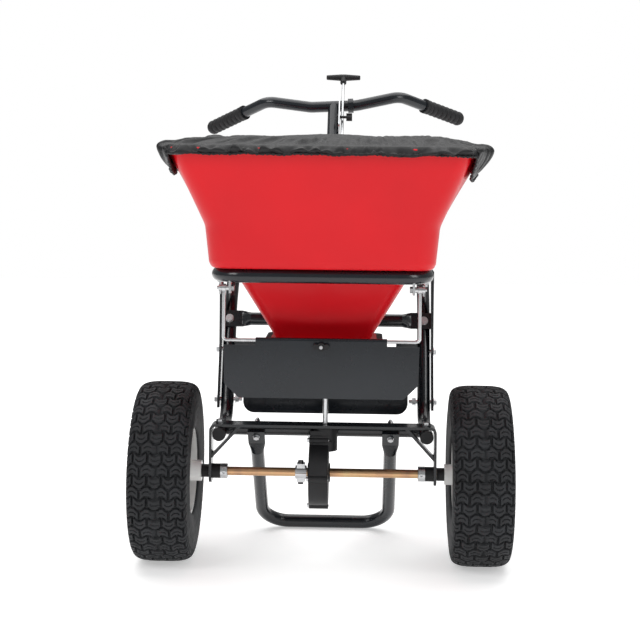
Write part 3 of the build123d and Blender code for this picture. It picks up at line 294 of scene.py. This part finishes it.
def tyre_profile(half_width, radius, bead_half, bead_radius):
    """Cross-section of the carcass as (axial, radial) points, with a mask that is 1 on the tread."""
    crown = []
    side_steps, crown_steps = 26, 96
    shoulder_x, shoulder_r = half_width * 0.93, radius - 0.020
    for t in np.linspace(0, 1, side_steps, endpoint=False):
        bulge = math.sin(math.pi * (0.12 + 0.62 * t)) ** 0.8
        x = bead_half + (half_width - bead_half) * bulge
        x = x if t > 0.05 else bead_half + (x - bead_half) * t / 0.05
        crown.append((x, bead_radius + (shoulder_r - bead_radius) * t, 0.0))
    start = np.array(crown[-1][:2])
    for t in np.linspace(0, 1, crown_steps):
        angle = t * math.pi / 2
        x = start[0] * math.cos(angle) ** 0.55 if t < 1 else 0.0
        r = start[1] + (radius - start[1]) * math.sin(angle) ** 0.62
        crown.append((x, r, 1.0))
    right = [(x, r, m) for x, r, m in crown]
    left = [(-x, r, m) for x, r, m in reversed(right[:-1])]
    return np.array(right + left)


def tread_height(across, along):
    """1 on a turf block and 0 in a groove. across and along are metres on the tread."""
    pitch = 2 * math.pi * 0.165 / TREAD_ROWS
    swing = across / BLOCK_WIDTH
    zigzag = np.abs(swing - np.round(swing)) * 2
    phase = (along + 0.0062 * smooth_step(zigzag, 0.15, 0.85)) / pitch
    row = np.floor(phase)
    shift = 0.5 * (row % 2)
    from_row = np.minimum(phase - row, row + 1 - phase) * pitch
    column = swing + shift
    from_column = np.abs(column - np.round(column)) * BLOCK_WIDTH
    edge = 0.0007
    rows = smooth_step(from_row, GROOVE / 2 - edge, GROOVE / 2 + edge)
    sides = smooth_step(from_column, GROOVE * 0.42 - edge, GROOVE * 0.42 + edge)
    sides = np.where(np.abs(across) > 2.35 * BLOCK_WIDTH, 1.0, sides)
    centre = np.abs(phase - row - 0.5) * pitch
    pocket = 1 - smooth_step(centre, 0.0004, 0.0011)
    pocket = pocket * smooth_step(from_column, 0.0052, 0.0062)
    return rows * sides * (1 - 0.5 * pocket)


def make_tyre(name, node, body):
    low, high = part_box(node)
    centre = (low + high) / 2
    half_width, radius = (high.x - low.x) / 2 - 0.0002, (high.z - low.z) / 2
    outer = tyre_profile(half_width, radius, 0.0438, 0.0774)
    axial, radial, on_tread = outer.T
    lengths = np.hypot(np.gradient(axial), np.gradient(radial))
    arc = np.cumsum(lengths)
    across = -(arc - arc[len(arc) // 2])
    turns = np.arange(TYRE_STEPS) * 2 * math.pi / TYRE_STEPS
    a, t = np.meshgrid(across, turns, indexing="ij")
    height = tread_height(a, t * 0.165)
    fade = smooth_step(np.abs(a), 0.064, 0.070)
    depth = TREAD_DEPTH * (1 - height) * (1 - fade)
    ribs = 0.0007 * smooth_step(np.cos((radial - 0.10) * 2 * math.pi / 0.011), 0.2, 0.9)
    ribs = ribs * smooth_step(radial, 0.095, 0.1) * (1 - smooth_step(radial, 0.132, 0.138))
    normal_x = np.gradient(radial) / lengths
    normal_r = -np.gradient(axial) / lengths
    x = axial[:, None] - depth * normal_x[:, None] - (ribs * normal_x)[:, None]
    r = radial[:, None] - depth * normal_r[:, None] - (ribs * normal_r)[:, None]
    inner_x, inner_r = [-0.034, -0.036, -0.048, -0.045, 0, 0.045, 0.048, 0.036, 0.034], \
        [0.0774, 0.094, 0.115, 0.142, 0.150, 0.142, 0.115, 0.094, 0.0774]
    x = np.vstack([x, np.repeat(np.array(inner_x)[:, None], TYRE_STEPS, 1)])
    r = np.vstack([r, np.repeat(np.array(inner_r)[:, None], TYRE_STEPS, 1)])
    points = np.stack([centre.x + x, centre.y + r * np.cos(turns), centre.z + r * np.sin(turns)], -1)
    faces = grid_faces(len(x), TYRE_STEPS, wrap_rows=True, wrap_columns=True)
    piece = mesh_object(name, points.reshape(-1, 3), faces, "tyre_rubber", 50)
    face_out(piece)
    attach(piece, body)
    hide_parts(node)
    return piece


# ------------------------------------------------------------------ hopper
# half width, front, back, corner radius and side bow of the plan at each height
RIM = 0.772
KINK = 0.635
LEDGE = 0.5588
OUTLET = 0.415
PLANS = {
    "rim": np.array([0.265, -0.253, 0.253, 0.026, 0.030]),
    "kink": np.array([0.207, -0.204, 0.207, 0.040, 0.003]),
    "bin": np.array([0.200, -0.186, 0.198, 0.038, 0.002]),
    "funnel": np.array([0.164, -0.146, 0.150, 0.030, 0.001]),
    "outlet": np.array([0.082, -0.066, 0.072, 0.020, 0.0005]),
}
WALL = 0.004
LIP = 0.0035
LIP_HEIGHT = 0.008
BOTTOM_RADIUS = 0.010
SIDE_STEPS = 40
CORNER_STEPS = 14
FRONT_BOW = 0.003


def plan_loop(sizes, grow=0.0):
    """Closed loop of (x, y) points around one plan, starting at the left end of the front."""
    half, front, back, corner, bow = sizes
    half, front, back = half + grow, front - grow, back + grow
    corner = max(corner + grow, 0.004)
    middle, depth = (front + back) / 2, (back - front) / 2 - corner
    loop = []
    along = np.linspace(-1, 1, SIDE_STEPS, endpoint=False)
    turn = np.linspace(0, math.pi / 2, CORNER_STEPS, endpoint=False)
    loop += [(s * (half - corner), front - FRONT_BOW * (1 - s * s)) for s in along]
    loop += [(half - corner + corner * math.sin(a), front + corner - corner * math.cos(a)) for a in turn]
    loop += [(half + bow * (1 - s * s), middle + s * depth) for s in along]
    loop += [(half - corner + corner * math.cos(a), back - corner + corner * math.sin(a)) for a in turn]
    loop += [(-s * (half - corner), back + FRONT_BOW * (1 - s * s)) for s in along]
    loop += [(corner - half - corner * math.sin(a), back - corner + corner * math.cos(a)) for a in turn]
    loop += [(-half - bow * (1 - s * s), middle - s * depth) for s in along]
    loop += [(corner - half - corner * math.cos(a), front + corner - corner * math.sin(a)) for a in turn]
    return np.array(loop)


def bin_plan(z, soften=0.006):
    """Plan of the bin at height z, with the kink rounded over a short height."""
    def straight(h):
        if h > KINK:
            t = (h - KINK) / (RIM - KINK)
            return PLANS["kink"] + (PLANS["rim"] - PLANS["kink"]) * t
        t = (h - LEDGE) / (KINK - LEDGE)
        return PLANS["bin"] + (PLANS["kink"] - PLANS["bin"]) * t
    return sum(straight(z + d) for d in np.linspace(-soften, soften, 9)) / 9


def funnel_plan(z):
    t = (z - OUTLET) / (LEDGE - OUTLET)
    return PLANS["outlet"] + (PLANS["funnel"] - PLANS["outlet"]) * t


def hopper_stations():
    """(height, plan, growth) down the outside of the hopper and back up its inside."""
    stations = []
    for a in np.linspace(-90, 90, 7):
        turn = math.radians(a)
        z = RIM - LIP_HEIGHT / 2 - LIP_HEIGHT / 2 * math.sin(turn)
        stations.append((z, bin_plan(RIM), LIP * (0.4 + 0.6 * math.cos(turn))))
    stations.append((RIM - LIP_HEIGHT - 0.001, bin_plan(RIM - LIP_HEIGHT), 0.0005))
    radius = BOTTOM_RADIUS
    for z in np.linspace(RIM - LIP_HEIGHT - 0.004, LEDGE + radius, 44):
        stations.append((z, bin_plan(z), 0.0))
    for a in np.linspace(15, 90, 6):
        turn = math.radians(a)
        z = LEDGE + radius - radius * math.sin(turn)
        stations.append((z, PLANS["bin"], -radius * (1 - math.cos(turn))))
    inset = PLANS["bin"] - np.array([radius, -radius, radius, radius, 0])
    for t in (0.35, 0.7, 0.88):
        stations.append((LEDGE, inset + (PLANS["funnel"] - inset) * t, 0.0))
    for drop, grow in ((0.003, 0.0024), (0.008, 0.0009)):
        stations.append((LEDGE - drop, funnel_plan(LEDGE - 0.010), grow))
    for z in np.linspace(LEDGE - 0.016, OUTLET + 0.008, 20):
        stations.append((z, funnel_plan(z), 0.0))
    for z, g in ((OUTLET + 0.005, 0.001), (OUTLET + 0.004, 0.003), (OUTLET + 0.004, 0.015),
                 (OUTLET + 0.003, 0.016), (OUTLET, 0.016), (OUTLET, -WALL)):
        stations.append((z, PLANS["outlet"], g))
    for z in np.linspace(OUTLET + 0.006, LEDGE, 12):
        stations.append((z, funnel_plan(z), -WALL))
    for t in (0.1, 0.5, 0.92):
        stations.append((LEDGE + WALL, PLANS["funnel"] + (PLANS["bin"] - PLANS["funnel"]) * t, -WALL))
    for z in np.linspace(LEDGE + WALL + 0.006, RIM - 0.002, 26):
        stations.append((z, bin_plan(z), -WALL))
    stations.append((RIM, bin_plan(RIM), -WALL * 0.7))
    return stations


def make_hopper():
    rows = []
    for z, sizes, grow in hopper_stations():
        loop = plan_loop(sizes, grow)
        rows.append(np.column_stack([loop[:, 0], loop[:, 1] + AXLE_Y, np.full(len(loop), z)]))
    faces = grid_faces(len(rows), len(rows[0]), wrap_rows=True, wrap_columns=True)
    piece = mesh_object("hopper_shell", np.vstack(rows), faces, "red_poly", 50)
    face_out(piece)
    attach(piece, "frame")
    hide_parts("hopper")
    return piece


def face_out(piece):
    bm = bmesh.new()
    bm.from_mesh(piece.data)
    bmesh.ops.recalc_face_normals(bm, faces=bm.faces)
    bm.to_mesh(piece.data)
    bm.free()


# ------------------------------------------------------------------ cover
COVER_HALF_CELLS = 60
SKIRT_CELLS = 9
COVER_DOME = 0.027
COVER_CLEAR = 0.0055
COVER_THICKNESS = 0.0009
HEM_RADIUS = 0.0024
HEM_SIDES = 10
HEM_STEPS = 3
SETTLE_FRAMES = 26
SETTLE_REACH = 0.009
RIM_HALF = (0.265, 0.253)


def reach_table(sizes, grow):
    """Distance from the middle to a plan's outline for a list of directions around it."""
    loop = plan_loop(sizes, grow)
    angles = np.arctan2(loop[:, 1], loop[:, 0])
    order = np.argsort(angles)
    return angles[order], np.hypot(*loop[order].T)


def hem_height(x, y):
    """Height of the elastic hem around the rim: just under the lip in front, lower at the sides."""
    side = smooth_step(np.abs(x), 0.262, 0.277)
    right_sag = np.exp(-((x - 0.28) / 0.03) ** 2 - ((y + 0.13) / 0.09) ** 2)
    ripple = 0.0008 * np.sin(x * 61 + y * 37) + 0.0006 * np.sin(x * 143 - y * 97 + 1.0)
    return RIM - 0.0105 - 0.034 * side - 0.010 * right_sag + ripple * (1 + 3 * side)


def pleats(x, y):
    """Height of the gathers that run from the hem towards the middle, some of them slanting."""
    around = np.arctan2(y / RIM_HALF[1], x / RIM_HALF[0])
    edge = np.maximum(np.abs(x) / RIM_HALF[0], np.abs(y) / RIM_HALF[1])
    lean = around * 11 + 3.1 * np.sin(around * 3 + 0.7) + 6.0 * edge
    folds = np.sin(lean * 2.6) + 0.8 * np.sin(lean * 5.1 + 2.0 * np.sin(around * 7))
    folds = folds + 0.5 * np.sin(around * 83 + edge * 9)
    broad = np.sin(x * 17 + 1.3) * np.cos(y * 13 - x * 6)
    near_edge = smooth_step(edge, 0.45, 0.92)
    return 0.0042 * folds * near_edge + 0.0045 * broad * (1 - 0.5 * near_edge)


def cover_start():
    """Square grid laid over the rim: (points, hem mask). Rows past the rim hang as a skirt."""
    angles, rim_reach = reach_table(PLANS["rim"], COVER_CLEAR)
    low_angles, low_reach = reach_table(PLANS["kink"], COVER_CLEAR)
    count = COVER_HALF_CELLS + SKIRT_CELLS
    side = np.arange(-count, count + 1) / COVER_HALF_CELLS
    u, v = np.meshgrid(side, side, indexing="ij")
    m = np.maximum(np.abs(u), np.abs(v))
    angle = np.arctan2(v * RIM_HALF[1], u * RIM_HALF[0])
    limit = np.interp(angle, angles, rim_reach, period=2 * math.pi)
    low_limit = np.interp(angle, low_angles, low_reach, period=2 * math.pi)
    share = np.minimum(m, 1)
    x, y = limit * share * np.cos(angle), limit * share * np.sin(angle)
    hem = hem_height(x, y)
    drop = np.clip((m - 1) * COVER_HALF_CELLS / SKIRT_CELLS, 0, 1)
    top = RIM + 0.004 + COVER_DOME * (1 - share ** 5) + pleats(x, y)
    z = top + (hem - top) * drop
    fall = np.clip((RIM - z) / (RIM - KINK), 0, 1) * (drop > 0)
    puff = 0.0085 * np.sin(math.pi * np.clip(drop * 1.1, 0, 1)) ** 0.7 + 0.6 * pleats(x, y) * (drop > 0)
    reach = limit * share + (low_limit - limit) * fall + puff
    points = np.stack([reach * np.cos(angle), reach * np.sin(angle) + AXLE_Y, z], -1)
    points[..., 2] += rng.normal(0, 0.0005, z.shape) * (share < 1)
    return points, (m >= side.max() - 1e-6)


def make_cover():
    """Nylon cover: oversize cloth held by its elastic hem, settled by a cloth simulation."""
    points, hem = cover_start()
    size = len(points)
    faces = grid_faces(size, size)
    piece = mesh_object("nylon_cover", points.reshape(-1, 3), faces, "cover_fabric", 180)
    pins = piece.vertex_groups.new(name="hem")
    pins.add([int(k) for k in np.flatnonzero(hem.reshape(-1))], 1.0, "REPLACE")
    settle_cover(piece, pins)
    rim = [piece.data.vertices[int(k)].co.copy() for k in np.flatnonzero(hem.reshape(-1))]
    sub = piece.modifiers.new("smooth", "SUBSURF")
    sub.levels = sub.render_levels = 1
    thick = piece.modifiers.new("cloth_thickness", "SOLIDIFY")
    thick.thickness = COVER_THICKNESS
    thick.offset = 1
    apply_modifiers(piece)
    piece.data.shade_smooth()
    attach(piece, "cover")
    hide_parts("hopper_cover")
    hem_piece = make_hem(rim)


def settle_cover(piece, pins):
    """Puffs the oversize cloth so that it buckles into creases between hem and rim."""
    cloth = piece.modifiers.new("cloth", "CLOTH")
    settings = cloth.settings
    settings.quality = 6
    settings.mass = 0.15
    settings.tension_stiffness = settings.compression_stiffness = 25
    settings.shear_stiffness = 8
    settings.bending_stiffness = 0.12
    settings.vertex_group_mass = pins.name
    settings.pin_stiffness = 1
    settings.shrink_min = -0.045
    settings.use_pressure = True
    settings.uniform_pressure_force = 0.12
    settings.effector_weights.gravity = 0.02
    cloth.collision_settings.use_collision = False
    cloth.collision_settings.use_self_collision = False
    before = np.array([v.co for v in piece.data.vertices])
    scene = bpy.context.scene
    scene.frame_start = 1
    scene.frame_end = SETTLE_FRAMES
    for number in range(1, SETTLE_FRAMES + 1):
        scene.frame_set(number)
    apply_modifiers(piece)
    after = np.array([v.co for v in piece.data.vertices])
    move = after - before
    length = np.linalg.norm(move, axis=1, keepdims=True)
    move *= np.minimum(1, SETTLE_REACH / np.maximum(length, 1e-9))
    place = keep_off_rim(before + move)
    piece.data.vertices.foreach_set("co", place.reshape(-1))
    piece.data.update()
    scene.frame_set(1)


def keep_off_rim(place):
    """Moves cloth points out of the hopper's lip and wall, and up onto its rim."""
    x, y, z = place[:, 0], place[:, 1] - AXLE_Y, place[:, 2]
    angle = np.arctan2(y, x)
    reach = np.hypot(x, y)
    rim = np.interp(angle, *reach_table(PLANS["rim"], LIP), period=2 * math.pi)
    low = np.interp(angle, *reach_table(PLANS["kink"], 0.0), period=2 * math.pi)
    over = (reach < rim + 0.001) & (z > RIM - 0.008)
    z = np.where(over, np.maximum(z, RIM + 0.0050), z)
    wall = rim + (low - rim) * np.clip((RIM - 0.009 - z) / (RIM - KINK), 0, 1)
    beside = z < RIM + 0.0045
    reach = np.where(beside, np.maximum(reach, wall + 0.0050), reach)
    return np.column_stack([reach * np.cos(angle), reach * np.sin(angle) + AXLE_Y, z])


def apply_modifiers(piece):
    bpy.context.view_layer.update()
    graph = bpy.context.evaluated_depsgraph_get()
    mesh = bpy.data.meshes.new_from_object(piece.evaluated_get(graph))
    piece.modifiers.clear()
    piece.data = mesh


def make_hem(rim):
    """Rolled elastic hem: a thin gathered tube along the cover's edge."""
    rim.sort(key=lambda p: math.atan2(p.y - AXLE_Y, p.x))
    line = np.array([tuple(p) for p in rim])
    line = (line * 2 + np.roll(line, -1, 0) + np.roll(line, 1, 0)) / 4
    line = np.array([a + (b - a) * j / HEM_STEPS for a, b in zip(line, np.roll(line, -1, 0))
                     for j in range(HEM_STEPS)])
    along = np.roll(line, -1, 0) - np.roll(line, 1, 0)
    along /= np.linalg.norm(along, axis=1, keepdims=True)
    side = np.cross(along, (0, 0, 1.0))
    side /= np.linalg.norm(side, axis=1, keepdims=True)
    up = np.cross(side, along)
    travel = np.cumsum(np.linalg.norm(along, axis=1)) * 0.0035
    radius = HEM_RADIUS + 0.0006 * np.sin(travel * 900 / 3.5) + 0.0004 * np.sin(travel * 410)
    rows = []
    for k in range(HEM_SIDES):
        a = 2 * math.pi * k / HEM_SIDES
        rows.append(line + (side * math.cos(a) + up * math.sin(a)) * radius[:, None])
    faces = grid_faces(HEM_SIDES, len(line), wrap_rows=True, wrap_columns=True)
    piece = mesh_object("cover_hem", np.vstack(rows), faces, "cover_fabric", 180)
    face_out(piece)
    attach(piece, "cover")
    return piece


# ------------------------------------------------------------------ stage and camera
CAMERA_RIGHT = 0.0776
CAMERA_DISTANCE = 2.739
CAMERA_HEIGHT = 0.770
CAMERA_YAW = 1.85
CAMERA_ROLL = 0.57
CAMERA_LENS = 82.3
CAMERA_SHIFT = -0.2667


def make_camera():
    data = bpy.data.cameras.new("camera")
    data.lens = CAMERA_LENS
    data.sensor_width = 36
    data.shift_y = CAMERA_SHIFT
    camera = bpy.data.objects.new("camera", data)
    bpy.context.scene.collection.objects.link(camera)
    turn = Matrix.Rotation(math.radians(CAMERA_YAW), 4, "Z") @ Matrix.Rotation(math.radians(90), 4, "X")
    turn = turn @ Matrix.Rotation(math.radians(CAMERA_ROLL), 4, "Z")
    place = Matrix.Translation((CAMERA_RIGHT, AXLE_Y - CAMERA_DISTANCE, CAMERA_HEIGHT))
    camera.matrix_world = place @ turn
    bpy.context.scene.camera = camera


def area_light(name, place, target, size, power, colour=(1, 1, 1)):
    data = bpy.data.lights.new(name, "AREA")
    data.shape = "RECTANGLE"
    data.size, data.size_y = size
    data.energy = power
    data.color = colour
    light = bpy.data.objects.new(name, data)
    bpy.context.scene.collection.objects.link(light)
    light.location = place
    light.rotation_euler = (Vector(target) - Vector(place)).to_track_quat("-Z", "Y").to_euler()


def make_stage():
    bpy.ops.mesh.primitive_plane_add(size=9, location=(0, 1, -0.0005))
    floor = bpy.context.object
    floor.name = "studio_floor"
    m = Nodes("studio_floor", (0.86, 0.86, 0.86), 0.7)
    m.colour(m.noise(3, 3), 0.985, 1.01)
    m.bump(m.noise(250, 3), 0.03, 0.0003)
    m.shader.inputs["Emission Color"].default_value = (1, 1, 1, 1)
    m.shader.inputs["Emission Strength"].default_value = 0.42
    floor.data.materials.append(m.material)
    world = bpy.data.worlds.new("studio")
    bpy.context.scene.world = world
    world.use_nodes = True
    tree = world.node_tree
    background = tree.nodes["Background"]
    background.inputs["Color"].default_value = (1, 1, 1, 1)
    seen = tree.nodes.new("ShaderNodeLightPath").outputs["Is Camera Ray"]
    strength = tree.nodes.new("ShaderNodeMapRange")
    strength.inputs["To Min"].default_value = 0.33
    strength.inputs["To Max"].default_value = 1.0
    tree.links.new(seen, strength.inputs["Value"])
    tree.links.new(strength.outputs[0], background.inputs["Strength"])
    target = (0, AXLE_Y, 0.5)
    area_light("front_left", (-2.2, AXLE_Y - 2.6, 2.4), target, (1.6, 1.6), 44)
    area_light("front_right", (2.4, AXLE_Y - 2.2, 1.8), target, (1.2, 1.8), 32)
    area_light("top", (0, 1.5, 4.6), (0, 1.5, 0), (7, 7), 300)
    bpy.context.scene.view_settings.view_transform = "Standard"


make_camera()
make_stage()
paint_frame()
make_tyre("tyre_tread_left", "tyre_left", "free_wheel")
make_tyre("tyre_tread_right", "tyre_right", "axle")
make_hopper()
make_cover()
